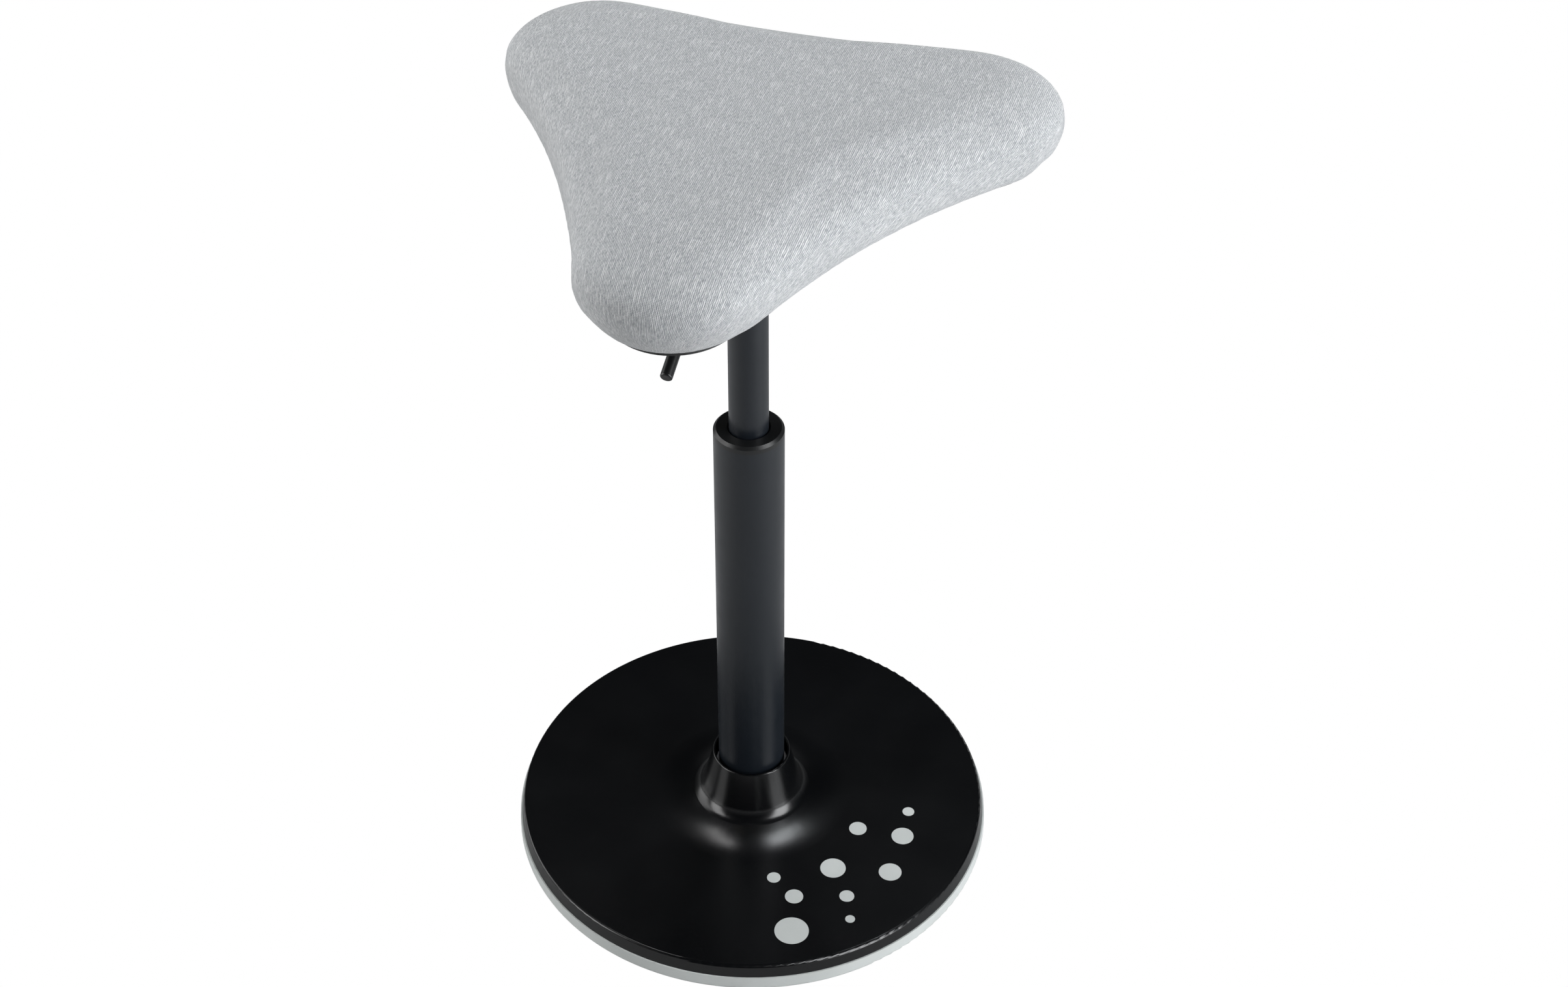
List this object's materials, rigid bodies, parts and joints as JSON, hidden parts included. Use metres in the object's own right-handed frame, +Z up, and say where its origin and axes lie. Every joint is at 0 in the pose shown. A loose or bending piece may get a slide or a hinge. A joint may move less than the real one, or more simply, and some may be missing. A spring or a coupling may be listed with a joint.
{
  "type": "perch stool",
  "caption": "Height-adjustable perch stool: three-lobed upholstered seat on a gas-spring column with a round weighted rocking base and a lift lever.",
  "frame": {"origin": "on the floor, under the column's axis", "axes": "+Z up along the column, -Y towards the seat lobe that has the lift lever under it, +X to the right seen from that lobe"},
  "size_m": [0.3796, 0.3902, 0.6487],
  "materials": {
    "pale_rubber": "matte",
    "cover_plastic": "satin",
    "weight_steel": "matte",
    "column_paint": "satin",
    "gloss_ring": "gloss",
    "bush_plastic": "matte",
    "bright_steel": "satin",
    "chromed_rod": "polished",
    "seal_rubber": "matte",
    "valve_alloy": "satin",
    "mechanism_steel": "satin",
    "seat_fabric": "matte",
    "seat_foam": "matte",
    "board_wood": "matte",
    "under_plastic": "matte"
  },
  "bodies": {
    "base": {"rocker_sole": "pale_rubber", "base_weight": "weight_steel", "base_cover": "cover_plastic", "dot_inlays": "pale_rubber", "base_screws": "bright_steel", "column_socket": "weight_steel", "socket_bolts": "bright_steel", "column_tube": "column_paint", "column_cap_ring": "gloss_ring", "guide_bush": "bush_plastic", "column_end_plate": "bright_steel", "lower_bearing_race": "bright_steel"},
    "ball_cage": {"bearing_balls": "chromed_rod", "bearing_cage": "bush_plastic"},
    "gas_rod": {"upper_bearing_race": "bright_steel", "piston_rod": "chromed_rod", "clip_washer": "bright_steel", "rod_clip": "bright_steel", "bump_stop": "seal_rubber", "piston": "valve_alloy", "piston_ring": "seal_rubber"},
    "seat": {"pressure_cylinder": "column_paint", "inner_pressure_tube": "bright_steel", "rod_guide": "bush_plastic", "rod_seal": "seal_rubber", "valve_body": "valve_alloy", "taper_socket": "mechanism_steel", "mechanism_channel": "mechanism_steel", "pivot_pin": "bright_steel", "pin_clips": "bright_steel", "mounting_plate": "mechanism_steel", "seat_screws": "bright_steel", "seat_tnuts": "bright_steel", "seat_board": "board_wood", "cover_staples": "bright_steel", "under_cover_screws": "mechanism_steel", "seat_foam": "seat_foam", "seat_cover": "seat_fabric", "seat_under_cover": "under_plastic"},
    "lever": {"lever_rod": "mechanism_steel", "lever_boss": "mechanism_steel", "lever_tongue": "mechanism_steel"},
    "valve": {"valve_pin": "bright_steel"}
  },
  "joints": [
    {"name": "seat_swivel", "type": "hinge", "parent": "base", "child": "gas_rod", "pos_m": [0, 0, 0.03], "axis": [0, 0, 1], "continuous": true},
    {"name": "cage_spin", "type": "hinge", "parent": "base", "child": "ball_cage", "pos_m": [0, 0, 0.03], "axis": [0, 0, 1], "continuous": true},
    {"name": "seat_lift", "type": "slide", "parent": "gas_rod", "child": "seat", "axis": [0, 0, 1], "range_m": [-0.08, 0.12]},
    {"name": "lever_lift", "type": "hinge", "parent": "seat", "child": "lever", "pos_m": [0, -0.04, 0.57], "axis": [-1, 0, 0], "range_deg": [0, 5.5], "stiffness_Nm_per_rad": 5, "springref_deg": -17.19},
    {"name": "valve_press", "type": "slide", "parent": "seat", "child": "valve", "axis": [0, 0, -1], "range_m": [0, 0.0039]}
  ],
  "couplings": [
    {"joint": "cage_spin", "follows": "seat_swivel", "ratio": 0.5},
    {"joint": "valve_press", "follows": "lever_lift", "m_per_rad": 0.04}
  ]
}
